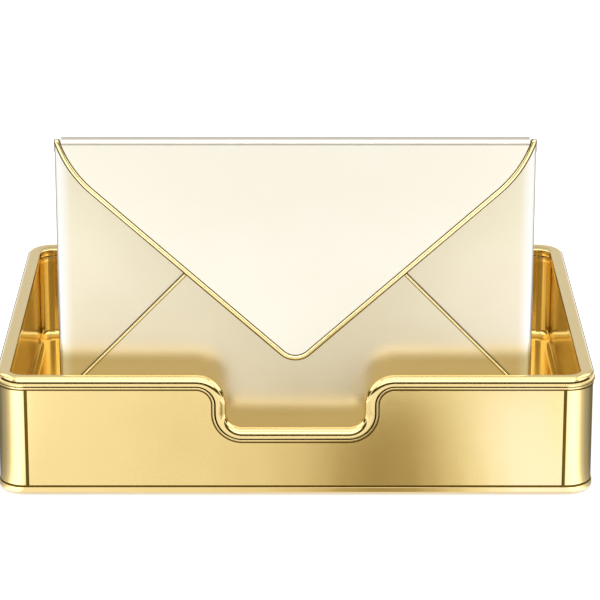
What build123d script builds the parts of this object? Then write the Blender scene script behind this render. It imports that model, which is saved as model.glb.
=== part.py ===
from build123d import *
from math import asin, atan2, cos, degrees, hypot, radians, sin, tan
import os

# An open letter tray in gold-finished sheet metal, with a scoop in its front wall,
# and one stiff metal envelope that stands upright in a rail behind that wall.
# The origin lies on the desk under the middle of the tray; the front faces -Y.

# ---- Tray, sizes over the outer shell -------------------------------------------
tray_width = 288.0
tray_depth = 216.0
tray_height = 61.0  # desk to the top of the rim
corner_radius = 13.5  # outer shell, seen from above
shell_sheet = 0.9
liner_sheet = 0.9
floor_height = 10.3  # desk to the top of the tray floor
floor_fillet = 3.5  # inside radius between floor and walls

# ---- Rim cap: a channel over the tops of shell and liner ------------------------
rim_width = 7.2
rim_proud = 0.8  # overhang past the shell outside, and past the liner inside
rim_bead = 5.0  # height of the rounded bead
rim_roof = 1.2  # metal above the sheet edges
rim_top_round = 2.2
lip_step = 0.45  # how far each lip is set back behind the bead
outer_lip = 1.8
inner_lip = 3.2
seat_gap = 0.05  # solder gap between the cap and the sheets

# ---- Scoop in the front wall, sizes along the top of the rim --------------------
scoop_width = 66.6
scoop_depth = 26.7
scoop_shoulder = 13.5
scoop_heel = 6.2

# ---- Foot of the tray -----------------------------------------------------------
foot_stand = 1.0  # desk to the underside of the moulding
moulding_height = 3.2
moulding_width = 5.0
moulding_proud = 0.5
moulding_round = 1.4
shell_rebate = 2.0  # depth of the groove that takes the shell
base_sheet = 0.9
base_recess = 1.5  # underside of the base plate above the moulding's underside
base_ledge = 1.9  # width of the ledge that the base plate lies on
base_gap = 0.1
foot_width = 14.0
foot_bevel = 0.4
foot_inset = 24.0  # from the outer faces of the shell to the middle of a foot
hex_sides = 6
screw_diameter = 3.0
screw_head_width = 5.5  # across flats
screw_head_height = 1.4
screw_grip = 5.2  # thread above the base plate's underside
screw_fit = 0.05
spacer_width = 7.0  # across flats

# ---- Rail that holds the envelope upright ---------------------------------------
envelope_setback = 24.0  # outer front face of the tray to the middle of the pocket
rail_length = 190.0
rail_base = 1.0
rail_wall = 1.0
rail_lip_height = 8.0  # above the rail's base
rail_clearance = 0.3  # beside the envelope
rest_gap = 0.3  # under the envelope
rivet_diameter = 2.4
rivet_head_diameter = 4.4
rivet_head_height = 1.0
rivet_spacing = 140.0
rivet_count = 2

# ---- Envelope, a C5 letter size in stiff sheet ----------------------------------
envelope_width = 229.0
envelope_height = 162.0  # lower fold to the top of the curled flap
envelope_sheet = 0.8
fold_radius = 2.6  # outside radius of the side folds
seam_foot = 33.5  # where the bottom flap's slanted edge meets the side fold
seam_slope = 45.8  # degrees
seam_bead_radius = 0.8
seam_gap = 0.3  # from a seam bead's end to the closed flap's piping
flap_tuck = 5.0  # how far each flap runs on under its neighbour

# ---- Top flap and its hinge -----------------------------------------------------
curl_radius = 3.2
rod_diameter = 2.0
rod_fit = 0.05  # running clearance between rod and curl
rod_end_fit = 0.02
ear_radius = 2.0
ear_width = 3.0
hinge_gap = 0.4
flap_lift = 0.2  # closed flap above the bottom flap
tip_drop = 111.3  # top of the curl to the middle of the piping at the tip
tip_radius = 9.5
shoulder_drop = 26.1  # top of the curl to where the flap's edge begins to curve
shoulder_run = 16.0  # sideways, from there to the end of the piping
piping_radius = 1.25
piping_drop = 4.7  # top of the curl to the end of the piping
piping_inset = 1.5  # side of the envelope to the end of the piping

# ---- Places that follow from the sizes ------------------------------------------
half_width = tray_width / 2
half_depth = tray_depth / 2
sheet_top = tray_height - rim_roof
liner_inset = rim_width - 2 * rim_proud  # shell outside to liner inside
moulding_top = foot_stand + moulding_height
shell_foot = moulding_top - shell_rebate
base_bottom = foot_stand + base_recess
base_top = base_bottom + base_sheet
floor_bottom = floor_height - liner_sheet
foot_x = half_width - foot_inset
foot_y = half_depth - foot_inset
foot_places = {
    "front_left": (-foot_x, -foot_y),
    "front_right": (foot_x, -foot_y),
    "rear_left": (-foot_x, foot_y),
    "rear_right": (foot_x, foot_y),
}

envelope_y = envelope_setback - half_depth
rail_top = floor_height + rail_base
envelope_foot = rail_top + rest_gap
fold_x = envelope_width / 2 - fold_radius
back_face = fold_radius  # outer faces, from the middle of the pocket
side_face = -fold_radius
bottom_face = side_face - envelope_sheet
bottom_fold_radius = (back_face - bottom_face) / 2
bottom_fold_y = (back_face + bottom_face) / 2
flap_back = bottom_face - flap_lift
flap_front = flap_back - envelope_sheet
axis_y = flap_front + curl_radius
axis_z = envelope_height - curl_radius
panel_top = axis_z - curl_radius - hinge_gap
curl_half = envelope_width / 2 - ear_width - hinge_gap

# The flap's straight edge runs from the shoulder to touch the arc at the tip.
piping_reach = envelope_width / 2 - piping_inset
shoulder_start = piping_reach - shoulder_run
shoulder_z = envelope_height - shoulder_drop
tip_z = envelope_height - tip_drop
tip_rise = shoulder_z - tip_z - tip_radius
flap_slope = atan2(tip_rise, shoulder_start) + asin(tip_radius / hypot(shoulder_start, tip_rise))
slope_up = tan(flap_slope)
seam_up = tan(radians(seam_slope))
vertex_z = tip_z - tip_radius * (1 / cos(flap_slope) - 1)
seam_cross_x = (seam_foot + fold_x * seam_up - vertex_z) / (slope_up + seam_up)
seam_cross_z = vertex_z + seam_cross_x * slope_up


def outline(inset):
    """Rounded outline of the tray from above, moved in from the shell's outer face."""
    return RectangleRounded(tray_width - 2 * inset, tray_depth - 2 * inset, corner_radius - inset)


def scoop(margin):
    """Scoop seen from the front, grown by margin into the wall on every side."""
    half = scoop_width / 2 + margin
    level = tray_height - margin
    low = level - scoop_depth
    shoulder = scoop_shoulder - margin
    heel = scoop_heel + margin
    with BuildSketch(Plane.XZ) as face:
        with BuildLine():
            foot = Line((0, low), (half - heel, low))
            turn = RadiusArc(foot @ 1, (half, low + heel), -heel)
            side = Line(turn @ 1, (half, level - shoulder))
            brow = RadiusArc(side @ 1, (half + shoulder, level), shoulder)
            Polyline(brow @ 1, (half + shoulder, 2 * tray_height), (0, 2 * tray_height))
            mirror(about=Plane.YZ)
        make_face()
    return face.sketch


def envelope_plane(y):
    """Plane that faces the front of the envelope, y behind the middle of its pocket."""
    return Plane(origin=(0, envelope_y + y, envelope_foot), x_dir=(1, 0, 0), z_dir=(0, -1, 0))


# ---- Outer shell: one bent band of sheet ----------------------------------------
with BuildPart() as outer_shell:
    with BuildSketch(Plane.XY.offset(shell_foot)):
        add(outline(0))
        add(outline(shell_sheet), mode=Mode.SUBTRACT)
    extrude(amount=sheet_top - shell_foot)
    extrude(scoop(rim_roof), amount=tray_depth, mode=Mode.SUBTRACT)

# ---- Inner liner: a deep-drawn pan, floor and walls in one ----------------------
rivet_places = GridLocations(rivet_spacing, 0, rivet_count, 1).locations
with BuildPart() as inner_liner:
    with BuildSketch(Plane.XY.offset(floor_bottom)):
        add(outline(liner_inset - liner_sheet))
    extrude(amount=sheet_top - floor_bottom)
    fillet(inner_liner.faces().sort_by(Axis.Z)[0].edges(), floor_fillet + liner_sheet)
    offset(amount=-liner_sheet, openings=inner_liner.faces().sort_by(Axis.Z)[-1])
    extrude(scoop(rim_roof), amount=tray_depth, mode=Mode.SUBTRACT)
    with BuildSketch(Plane.XY.offset(floor_bottom)):
        with Locations((0, envelope_y + bottom_fold_y)):
            with Locations(*rivet_places):
                Circle(rivet_diameter / 2 + screw_fit)
    extrude(amount=liner_sheet, mode=Mode.SUBTRACT)

# ---- Rim cap: one channel swept round the corners and down through the scoop ----
bead_outer = rim_proud
bead_inner = rim_proud - rim_width
scoop_low = tray_height - scoop_depth
with BuildPart() as rim_cap:
    with BuildLine() as rim_line:
        rear = Line((0, half_depth, tray_height), (half_width - corner_radius, half_depth, tray_height))
        rear_turn = TangentArc(
            rear @ 1, (half_width, half_depth - corner_radius, tray_height), tangent=rear % 1
        )
        flank = Line(rear_turn @ 1, (half_width, corner_radius - half_depth, tray_height))
        front_turn = TangentArc(
            flank @ 1, (half_width - corner_radius, -half_depth, tray_height), tangent=flank % 1
        )
        front = Line(front_turn @ 1, (scoop_width / 2 + scoop_shoulder, -half_depth, tray_height))
        shoulder = TangentArc(
            front @ 1, (scoop_width / 2, -half_depth, tray_height - scoop_shoulder), tangent=front % 1
        )
        cheek = Line(shoulder @ 1, (scoop_width / 2, -half_depth, scoop_low + scoop_heel))
        heel = TangentArc(
            cheek @ 1, (scoop_width / 2 - scoop_heel, -half_depth, scoop_low), tangent=cheek % 1
        )
        Line(heel @ 1, (0, -half_depth, scoop_low))
    with BuildSketch(Plane(origin=rear @ 0, x_dir=(0, 1, 0), z_dir=(1, 0, 0))) as rim_section:
        with BuildLine():
            Polyline(
                (bead_outer, -rim_bead),
                (bead_outer, 0),
                (bead_inner, 0),
                (bead_inner, -rim_bead),
                (bead_inner + lip_step, -rim_bead),
                (bead_inner + lip_step, -rim_bead - inner_lip),
                (-liner_inset - seat_gap, -rim_bead - inner_lip),
                (-liner_inset - seat_gap, -rim_roof),
                (seat_gap, -rim_roof),
                (seat_gap, -rim_bead - outer_lip),
                (bead_outer - lip_step, -rim_bead - outer_lip),
                (bead_outer - lip_step, -rim_bead),
                close=True,
            )
        make_face()
        fillet(rim_section.vertices().group_by(Axis.Y)[-1], rim_top_round)
    sweep(path=rim_line.wire())
    mirror(about=Plane.YZ)

# ---- Base moulding: a solid ring with a groove for the shell and a ledge --------
ledge_edge = moulding_width - moulding_proud  # inner face, in from the shell's face
with BuildPart() as base_moulding:
    with BuildSketch(Plane.XY.offset(foot_stand)):
        add(outline(-moulding_proud))
        add(outline(ledge_edge), mode=Mode.SUBTRACT)
    extrude(amount=moulding_height)
    rim_edges = base_moulding.faces().sort_by(Axis.Z)[0].outer_wire().edges()
    fillet(rim_edges, moulding_round)
    with BuildSketch(Plane.XY.offset(shell_foot)):
        add(outline(-seat_gap))
        add(outline(shell_sheet + seat_gap), mode=Mode.SUBTRACT)
    extrude(amount=shell_rebate, mode=Mode.SUBTRACT)
    with BuildSketch(Plane.XY.offset(base_bottom)):
        add(outline(ledge_edge - base_ledge))
    extrude(amount=moulding_top - base_bottom, mode=Mode.SUBTRACT)

# ---- Base plate: closes the underside and is clamped by the foot screws ---------
with BuildPart() as base_plate:
    with BuildSketch(Plane.XY.offset(base_bottom)):
        add(outline(ledge_edge - base_ledge + base_gap))
        with Locations(*foot_places.values()):
            Circle(screw_diameter / 2 + screw_fit, mode=Mode.SUBTRACT)
    extrude(amount=base_sheet)

# ---- Rubber feet: square pads glued round the screw heads, one at each corner ---
feet = {}
for corner, place in foot_places.items():
    with BuildPart() as foot:
        with BuildSketch(Plane.XY):
            with Locations(place):
                Rectangle(foot_width, foot_width)
        extrude(amount=base_bottom)
        chamfer(foot.faces().sort_by(Axis.Z)[0].edges(), foot_bevel)
        with BuildSketch(Plane.XY):
            with Locations(place):
                RegularPolygon(screw_head_width / 2 + base_gap, hex_sides, major_radius=False)
        extrude(amount=base_bottom, mode=Mode.SUBTRACT)
    feet[corner] = foot

# ---- Foot screws: hexagon heads that clamp the base plate, sunk in the rubber ---
with BuildPart() as foot_screws:
    with BuildSketch(Plane.XY.offset(base_bottom - screw_head_height)):
        with Locations(*foot_places.values()):
            RegularPolygon(screw_head_width / 2, hex_sides, major_radius=False)
    extrude(amount=screw_head_height)
    with BuildSketch(Plane.XY.offset(base_bottom)):
        with Locations(*foot_places.values()):
            Circle(screw_diameter / 2)
    extrude(amount=screw_grip)

# ---- Threaded spacers: brazed under the tray floor, they stop on the base plate -
with BuildPart() as floor_spacers:
    with BuildSketch(Plane.XY.offset(base_top)):
        with Locations(*foot_places.values()):
            RegularPolygon(spacer_width / 2, hex_sides, major_radius=False)
            Circle(screw_diameter / 2 + screw_fit, mode=Mode.SUBTRACT)
    extrude(amount=floor_bottom - base_top)

# ---- Letter rail: a low channel riveted across the floor ------------------------
rail_inside = 2 * (bottom_fold_radius + rail_clearance)
rail_outside = rail_inside + 2 * rail_wall
rail_y = envelope_y + bottom_fold_y
with BuildPart() as letter_rail:
    with BuildSketch(Plane.XY.offset(floor_height)):
        with Locations((0, rail_y)):
            Rectangle(rail_length, rail_outside)
    extrude(amount=rail_base + rail_lip_height)
    lip_edges = letter_rail.edges().filter_by(Axis.Z)
    fillet(lip_edges, rail_wall)
    with BuildSketch(Plane.XY.offset(rail_top)):
        with Locations((0, rail_y)):
            Rectangle(rail_length, rail_inside)
    extrude(amount=rail_lip_height, mode=Mode.SUBTRACT)
    with BuildSketch(Plane.XY.offset(floor_height)):
        with Locations((0, rail_y)):
            with Locations(*rivet_places):
                Circle(rivet_diameter / 2 + screw_fit)
    extrude(amount=rail_base, mode=Mode.SUBTRACT)

with BuildPart() as rail_rivets:
    with BuildSketch(Plane.XY.offset(floor_bottom - rivet_head_height)):
        with Locations((0, rail_y)):
            with Locations(*rivet_places):
                Circle(rivet_head_diameter / 2)
    extrude(amount=rivet_head_height)
    with BuildSketch(Plane.XY.offset(floor_bottom)):
        with Locations((0, rail_y)):
            with Locations(*rivet_places):
                Circle(rivet_diameter / 2)
    extrude(amount=rail_top - floor_bottom)

# ---- Envelope back: the flat panel between the two side folds -------------------
with BuildPart() as back_panel:
    with BuildSketch(envelope_plane(back_face)):
        with Locations((0, (bottom_fold_radius + panel_top) / 2)):
            Rectangle(2 * fold_x, panel_top - bottom_fold_radius)
    extrude(amount=envelope_sheet)

# ---- Side flaps: each has its rounded fold, a slanted tongue and a hinge ear ----
tuck_low = seam_foot - flap_tuck
tuck_high = vertex_z + flap_tuck + fold_x * slope_up
tongue_x = seam_cross_x - 2 * flap_tuck / (slope_up + seam_up)
tongue_z = vertex_z + flap_tuck + tongue_x * slope_up
side_flaps = {}
for name, hand in (("left", -1), ("right", 1)):
    with BuildPart() as side_flap:
        with BuildSketch(Plane.XY.offset(envelope_foot)):
            with Locations((hand * fold_x, envelope_y)):
                Circle(fold_radius)
                Circle(fold_radius - envelope_sheet, mode=Mode.SUBTRACT)
            with Locations((hand * (fold_x - fold_radius), envelope_y)):
                Rectangle(2 * fold_radius, 2 * fold_radius, mode=Mode.SUBTRACT)
        extrude(amount=panel_top)
        with BuildSketch(Plane.XY.offset(envelope_foot + panel_top)):
            with Locations((hand * fold_x, envelope_y)):
                Circle(fold_radius)
            with Locations((hand * (fold_x - fold_radius), envelope_y)):
                Rectangle(2 * fold_radius, 2 * fold_radius, mode=Mode.SUBTRACT)
        extrude(amount=-curl_radius)
        with BuildSketch(envelope_plane(side_face + envelope_sheet)):
            with BuildLine():
                FilletPolyline(
                    (hand * fold_x, tuck_low),
                    (hand * tongue_x, tongue_z),
                    (hand * fold_x, tuck_high),
                    radius=flap_tuck,
                )
                Line((hand * fold_x, tuck_low), (hand * fold_x, tuck_high))
            make_face()
        extrude(amount=envelope_sheet)
        ear_plane = Plane(
            origin=(hand * (envelope_width / 2 - ear_width), envelope_y, envelope_foot),
            x_dir=(0, hand, 0),
            z_dir=(hand, 0, 0),
        )
        with BuildSketch(ear_plane):
            with Locations((hand * axis_y, axis_z)):
                Circle(ear_radius)
            with Locations((hand * axis_y, (axis_z + panel_top) / 2)):
                Rectangle(2 * ear_radius, axis_z - panel_top)
            with Locations((hand * axis_y, axis_z)):
                Circle(rod_diameter / 2 + rod_end_fit, mode=Mode.SUBTRACT)
        extrude(amount=ear_width)
    side_flaps[name] = side_flap

# ---- Bottom flap: folded up over the side flaps ---------------------------------
collar_z = seam_cross_z + flap_tuck
collar_x = fold_x - (collar_z - seam_foot) / seam_up
with BuildPart() as bottom_flap:
    with BuildSketch(envelope_plane(bottom_face + envelope_sheet)):
        with BuildLine():
            FilletPolyline(
                (0, collar_z),
                (collar_x, collar_z),
                (fold_x, seam_foot),
                (fold_x, bottom_fold_radius),
                radius=flap_tuck,
            )
            Line((fold_x, bottom_fold_radius), (0, bottom_fold_radius))
            mirror(about=Plane.YZ)
        make_face()
    extrude(amount=envelope_sheet)
    fold_plane = Plane(
        origin=(-fold_x, envelope_y + bottom_fold_y, envelope_foot + bottom_fold_radius),
        x_dir=(0, 1, 0),
        z_dir=(1, 0, 0),
    )
    with BuildSketch(fold_plane):
        Circle(bottom_fold_radius)
        Circle(bottom_fold_radius - envelope_sheet, mode=Mode.SUBTRACT)
        with Locations((0, bottom_fold_radius)):
            Rectangle(2 * bottom_fold_radius, 2 * bottom_fold_radius, mode=Mode.SUBTRACT)
    extrude(amount=2 * fold_x)

# ---- Seam beads: half-round wire on the bottom flap's slanted edges -------------
seam_run_x = -cos(radians(seam_slope))
seam_run_z = sin(radians(seam_slope))
seam_low_x = fold_x - seam_bead_radius * seam_run_z
seam_low_z = seam_foot - seam_bead_radius * cos(radians(seam_slope))
seam_length = (seam_cross_z - seam_foot) / seam_run_z - piping_radius - seam_gap
seam_beads = {}
for name, hand in (("left", -1), ("right", 1)):
    with BuildPart() as seam_bead:
        bead_plane = Plane(
            origin=(hand * seam_low_x, envelope_y + bottom_face, envelope_foot + seam_low_z),
            x_dir=(0, -1, 0),
            z_dir=(hand * seam_run_x, 0, seam_run_z),
        )
        with BuildSketch(bead_plane):
            Circle(seam_bead_radius)
            with Locations((-seam_bead_radius, 0)):
                Rectangle(2 * seam_bead_radius, 2 * seam_bead_radius, mode=Mode.SUBTRACT)
        extrude(amount=seam_length)
    seam_beads[name] = seam_bead

# ---- Line of the flap's edge, right half, from the tip up to the shoulder -------
end_z = envelope_height - piping_drop


def flap_edge():
    """Tip arc, straight edge and shoulder arc, drawn in the plane of the flap."""
    centre = (0, tip_z + tip_radius)
    tip = CenterArc(centre, tip_radius, -90, degrees(flap_slope))
    edge = Line(tip @ 1, (shoulder_start, shoulder_z))
    TangentArc(edge @ 1, (piping_reach, end_z), tangent=edge % 1)


# ---- Top flap: one sheet, its upper edge curled round the hinge rod -------------
with BuildPart() as top_flap:
    with BuildSketch(envelope_plane(flap_back)):
        with BuildLine():
            flap_edge()
            Polyline(
                (piping_reach, end_z),
                (piping_reach, axis_z + piping_radius),
                (0, axis_z + piping_radius),
            )
            mirror(about=Plane.YZ)
        make_face()
        offset(amount=-piping_radius)
    extrude(amount=envelope_sheet)
    curl_plane = Plane(
        origin=(-curl_half, envelope_y + axis_y, envelope_foot + axis_z),
        x_dir=(0, 1, 0),
        z_dir=(1, 0, 0),
    )
    with BuildSketch(curl_plane):
        Circle(curl_radius)
    extrude(amount=2 * curl_half)
    with BuildSketch(curl_plane):
        Circle(rod_diameter / 2 + rod_fit)
    extrude(amount=2 * curl_half, mode=Mode.SUBTRACT)

# ---- Flap piping: a D-section bead along the whole edge of the flap -------------
with BuildPart() as flap_piping:
    with BuildLine(envelope_plane(flap_back)) as piping_line:
        flap_edge()
    with BuildSketch(
        Plane(
            origin=(0, envelope_y + flap_back, envelope_foot + tip_z),
            x_dir=(0, -1, 0),
            z_dir=(1, 0, 0),
        )
    ):
        with Locations((envelope_sheet / 4, 0)):
            Rectangle(envelope_sheet / 2, 2 * piping_radius)
        with Locations((envelope_sheet / 2, 0)):
            Circle(piping_radius)
        with Locations((-piping_radius, 0)):
            Rectangle(2 * piping_radius, 2 * piping_radius, mode=Mode.SUBTRACT)
    sweep(path=piping_line.wire())
    mirror(about=Plane.YZ)

# ---- Hinge rod: through the curl, its ends held in the ears ---------------------
with BuildPart() as hinge_rod:
    with BuildSketch(
        Plane(
            origin=(-envelope_width / 2, envelope_y + axis_y, envelope_foot + axis_z),
            x_dir=(0, 1, 0),
            z_dir=(1, 0, 0),
        )
    ):
        Circle(rod_diameter / 2)
    extrude(amount=envelope_width)

pieces = {
    "outer_shell": outer_shell,
    "inner_liner": inner_liner,
    "rim_cap": rim_cap,
    "base_moulding": base_moulding,
    "base_plate": base_plate,
    "foot_screws": foot_screws,
    "floor_spacers": floor_spacers,
    "letter_rail": letter_rail,
    "rail_rivets": rail_rivets,
    "back_panel": back_panel,
    "bottom_flap": bottom_flap,
    "hinge_rod": hinge_rod,
    "top_flap": top_flap,
    "flap_piping": flap_piping,
}
for corner, foot in feet.items():
    pieces["foot_" + corner] = foot
for name, side_flap in side_flaps.items():
    pieces["side_flap_" + name] = side_flap
for name, seam_bead in seam_beads.items():
    pieces["seam_bead_" + name] = seam_bead

os.makedirs("parts", exist_ok=True)
for name, piece in pieces.items():
    piece.part.label = name
    export_step(piece.part, "parts/" + name + ".step")
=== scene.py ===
import bmesh
import bpy
import numpy as np
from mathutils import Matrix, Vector


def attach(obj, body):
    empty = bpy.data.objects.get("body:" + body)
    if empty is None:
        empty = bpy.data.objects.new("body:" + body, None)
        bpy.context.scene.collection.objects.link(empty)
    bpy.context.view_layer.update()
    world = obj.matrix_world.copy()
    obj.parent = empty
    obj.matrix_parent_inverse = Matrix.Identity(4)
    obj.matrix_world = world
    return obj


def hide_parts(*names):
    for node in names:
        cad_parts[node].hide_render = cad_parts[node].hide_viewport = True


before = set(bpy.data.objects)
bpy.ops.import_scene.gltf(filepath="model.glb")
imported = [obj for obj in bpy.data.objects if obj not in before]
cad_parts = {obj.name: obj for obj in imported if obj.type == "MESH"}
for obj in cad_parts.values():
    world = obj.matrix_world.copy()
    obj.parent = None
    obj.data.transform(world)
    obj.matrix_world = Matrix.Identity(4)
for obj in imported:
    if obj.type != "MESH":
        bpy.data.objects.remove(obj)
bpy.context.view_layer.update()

# ---- Rim cap ----------------------------------------------------------------------
# A rounded bead of polished brass with a thin lip under each side, pressed over the
# tops of both tray walls. It is one closed loop: round the four corners, over the
# shoulders of the scoop and along its bottom.
TRAY_HALF_WIDTH, TRAY_HALF_DEPTH, RIM_TOP, CORNER_RADIUS = 144.0, 108.0, 61.0, 13.5
SCOOP_HALF_WIDTH, SCOOP_DEPTH, SCOOP_SHOULDER, SCOOP_HEEL = 33.3, 26.7, 14.6, 7.8
CORNER_X, CORNER_Y = TRAY_HALF_WIDTH - CORNER_RADIUS, TRAY_HALF_DEPTH - CORNER_RADIUS
RIM_WIDTH, RIM_PROUD, BEAD_HEIGHT = 7.2, 0.8, 4.9
RIM_ROOF, LIP_STEP, OUTER_LIP, INNER_LIP, SHEET_GAP = 1.2, 0.45, 1.6, 3.3, 0.05
GROOVE, GROOVE_HEIGHT, BROW_REACH, BROW_DROP, SOLDER = 0.30, 0.75, 3.0, 4.7, 0.16
# Radii of the rim's edges. CRISP keeps an edge sharp with as many points as the rest.
BEAD_ROUND, BEAD_FOOT_ROUND, INNER_FOOT_ROUND, SOLDER_ROUND = 1.2, 0.15, 0.3, 0.02
LIP_ROUND, INNER_LIP_ROUND, INNER_LIP_FOOT_ROUND, SHEET_ROUND, CRISP = 0.2, 0.12, 0.1, 0.05, 0.01
CORNER_STEPS, BROW_POINTS, PROFILE_PARTS = 40, 21, 8
EDGE_HOLD = [0.4]


def steps(start, end, count, holds=()):
    """Even steps from start up to, but not onto, end, with more points at the given
    distances from both ends."""
    way = np.sign(end - start)
    more = [place for hold in holds for place in (start + way * hold, end - way * hold)]
    line = np.sort(np.concatenate([np.linspace(start, end, count, endpoint=False), more]))
    return line[:: int(way)]


def rim_track():
    """Right half of the line along the top of the rim, from the middle of the back to
    the middle of the scoop: points, outward directions and upward directions. A corner
    is its centre plus the radius times (sine, cosine) of an even angle."""
    turn = steps(0.0, np.pi / 2, CORNER_STEPS)
    points, outward, upward = [], [], []

    def run(x, y, z, out, up):
        count = max(np.size(x), np.size(y), np.size(z))
        points.append(np.stack([np.broadcast_to(v, count) for v in (x, y, z)], 1))
        outward.append(np.broadcast_to(out, (count, 3)))
        upward.append(np.broadcast_to(up, (count, 3)))

    back, side, front, top = (0, 1, 0), (1, 0, 0), (0, -1, 0), (0, 0, 1)
    arc = np.stack([np.sin(turn), np.cos(turn), 0 * turn], 1)
    run(steps(0, CORNER_X, 8, EDGE_HOLD), TRAY_HALF_DEPTH, RIM_TOP, back, top)
    run(CORNER_X + CORNER_RADIUS * arc[:, 0], CORNER_Y + CORNER_RADIUS * arc[:, 1], RIM_TOP, arc, top)
    run(TRAY_HALF_WIDTH, steps(CORNER_Y, -CORNER_Y, 8, EDGE_HOLD), RIM_TOP, side, top)
    arc = np.stack([np.cos(turn), -np.sin(turn), 0 * turn], 1)
    run(CORNER_X + CORNER_RADIUS * arc[:, 0], CORNER_RADIUS * arc[:, 1] - CORNER_Y, RIM_TOP, arc, top)
    brow_x, brow_z = SCOOP_HALF_WIDTH + SCOOP_SHOULDER, RIM_TOP - SCOOP_SHOULDER
    heel_x, heel_z = SCOOP_HALF_WIDTH - SCOOP_HEEL, RIM_TOP - SCOOP_DEPTH + SCOOP_HEEL
    run(steps(CORNER_X, brow_x, 6, EDGE_HOLD), -TRAY_HALF_DEPTH, RIM_TOP, front, top)
    up = np.stack([-np.sin(turn), 0 * turn, np.cos(turn)], 1)
    brow_line, brow_rise = brow_x + SCOOP_SHOULDER * up[:, 0], brow_z + SCOOP_SHOULDER * up[:, 2]
    run(brow_line, -TRAY_HALF_DEPTH, brow_rise, front, up)
    run(SCOOP_HALF_WIDTH, -TRAY_HALF_DEPTH, steps(brow_z, heel_z, 2, EDGE_HOLD), front, (-1, 0, 0))
    up = np.stack([-np.cos(turn), 0 * turn, np.sin(turn)], 1)
    run(heel_x - SCOOP_HEEL * up[:, 0], -TRAY_HALF_DEPTH, heel_z - SCOOP_HEEL * up[:, 2], front, up)
    run(steps(heel_x, 0, 4, EDGE_HOLD), -TRAY_HALF_DEPTH, RIM_TOP - SCOOP_DEPTH, front, top)
    run(0.0, -TRAY_HALF_DEPTH, RIM_TOP - SCOOP_DEPTH, front, top)
    return [np.concatenate(part) for part in (points, outward, upward)]


def both_halves(rows):
    """The right half followed by its mirror image in reverse, without the shared ends."""
    return np.concatenate([rows, rows[-2:0:-1] * (-1, 1, 1)])


def rounded(corners):
    """Closed profile of corners given as (across, up, radius), each cut back and
    rounded by a circle's arc: the arc runs between the points at radius / tan(half the
    angle) from the corner, in PROFILE_PARTS even steps."""
    corners, radii = np.split(np.array(corners, float), [2], 1)
    before = np.roll(corners, 1, 0) - corners
    after = np.roll(corners, -1, 0) - corners
    before /= np.linalg.norm(before, axis=1)[:, None]
    after /= np.linalg.norm(after, axis=1)[:, None]
    half = np.arccos(np.clip((before * after).sum(1), -1, 1)) / 2
    middle = before + after
    middle /= np.linalg.norm(middle, axis=1)[:, None]
    centre = corners + middle * radii / np.sin(half)[:, None]
    sweep = np.linspace(-1, 1, PROFILE_PARTS + 1)[None, :] * (np.pi / 2 - half)[:, None]
    across = after - before
    across /= np.linalg.norm(across, axis=1)[:, None]
    arc = np.sin(sweep)[..., None] * across[:, None] - np.cos(sweep)[..., None] * middle[:, None]
    return (centre[:, None] + radii[:, None] * arc).reshape(-1, 2)


def skin(name, grid, finish=0, along=True):
    """Mesh of a grid of points in millimetres: each square of four neighbours is one
    face and the columns close into a ring. along closes the rows too, else each end
    gets one flat face. finish numbers each face's material, by row, column or both."""
    rows, columns = grid.shape[:2]
    index = np.arange(rows * columns).reshape(rows, columns)
    ring = np.concatenate([index, index[:, :1]], 1)
    if along:
        ring = np.concatenate([ring, ring[:1]])
    faces = np.stack([ring[:-1, :-1], ring[1:, :-1], ring[1:, 1:], ring[:-1, 1:]], -1)
    numbers = np.broadcast_to(finish, faces.shape[:2]).ravel()
    faces = faces.reshape(-1, 4).tolist()
    if not along:
        faces += [index[0].tolist(), index[-1, ::-1].tolist()]
        numbers = np.concatenate([numbers, [0, 0]])
    mesh = bpy.data.meshes.new(name)
    mesh.from_pydata(grid.reshape(-1, 3) * 0.001, [], faces)
    mesh.polygons.foreach_set("material_index", numbers.astype(np.int32))
    return mesh


def piece(name, mesh, materials, body, nodes, sharp=35.0):
    """Object with its faces turned outwards and smooth, and edges sharper than the
    given angle in degrees kept crisp. It takes the place of the named CAD nodes."""
    shape = bmesh.new()
    shape.from_mesh(mesh)
    if shape.calc_volume(signed=True) < 0:
        bmesh.ops.reverse_faces(shape, faces=shape.faces)
    shape.to_mesh(mesh)
    shape.free()
    mesh.shade_smooth()
    mesh.set_sharp_from_angle(angle=np.radians(sharp))
    for material in materials:
        mesh.materials.append(material)
    thing = bpy.data.objects.new(name, mesh)
    bpy.context.collection.objects.link(thing)
    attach(thing, body)
    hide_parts(*nodes)


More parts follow.
